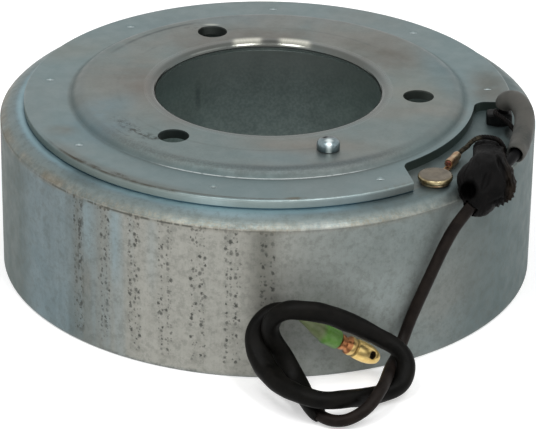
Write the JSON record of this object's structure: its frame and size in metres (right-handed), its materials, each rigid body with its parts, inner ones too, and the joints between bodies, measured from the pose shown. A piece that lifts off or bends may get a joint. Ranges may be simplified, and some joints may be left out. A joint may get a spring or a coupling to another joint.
{
  "type": "magnetic clutch coil",
  "caption": "Round steel field coil of a compressor's magnetic clutch, with a stamped mounting plate, a ground rivet, a rubber lead boot and a short lead with a bullet terminal.",
  "frame": {"origin": "centre of the shell's open pole face, which the coil stands on", "axes": "+Z along the coil's axis from the open pole face to the mounting plate, +X towards the outlet bushing's side, -Y towards the free lead"},
  "size_m": [0.112, 0.1322, 0.0426],
  "materials": {
    "shell_zinc": "dull grey zinc plating with small pits",
    "plate_zinc": "dull zinc plating with faint patches",
    "pin_steel": "bright zinc plating",
    "bobbin_plastic": "moulded natural nylon",
    "winding_copper": "enamelled copper wire",
    "tape": "yellow polyester tape",
    "insulator_board": "pressed board",
    "resin": "dark potting resin",
    "bushing_plastic": "moulded black",
    "ground_braid": "dark varnished copper braid",
    "terminal_brass": "dull tinned brass",
    "rivet_steel": "warm bright plating",
    "live_insulation": "black insulation",
    "grey_sleeve": "soft grey sleeve",
    "boot_rubber": "matte black rubber",
    "ferrule_metal": "plain crimp metal",
    "lead_insulation": "brown-black insulation",
    "tube_plastic": "black vinyl tube",
    "green_sleeve": "green insulating sleeve",
    "copper_strands": "bare copper strands",
    "bullet_brass": "plain brass"
  },
  "bodies": {
    "root": {"field_shell": "shell_zinc", "mounting_plate": "plate_zinc", "locating_pin": "pin_steel", "bobbin": "bobbin_plastic", "winding": "winding_copper", "winding_tape": "tape", "back_insulator": "insulator_board", "potting_resin": "resin", "outlet_bushing": "bushing_plastic", "ground_wire": "ground_braid", "ground_terminal": "terminal_brass", "ground_rivet": "rivet_steel", "live_wire": "live_insulation", "live_wire_sleeve": "grey_sleeve", "lead_boot": "boot_rubber", "splice_ferrule": "ferrule_metal", "lead": "lead_insulation", "lead_tube": "tube_plastic", "connector_sleeve": "green_sleeve", "lead_strands": "copper_strands", "bullet_terminal": "bullet_brass"}
  },
  "joints": []
}
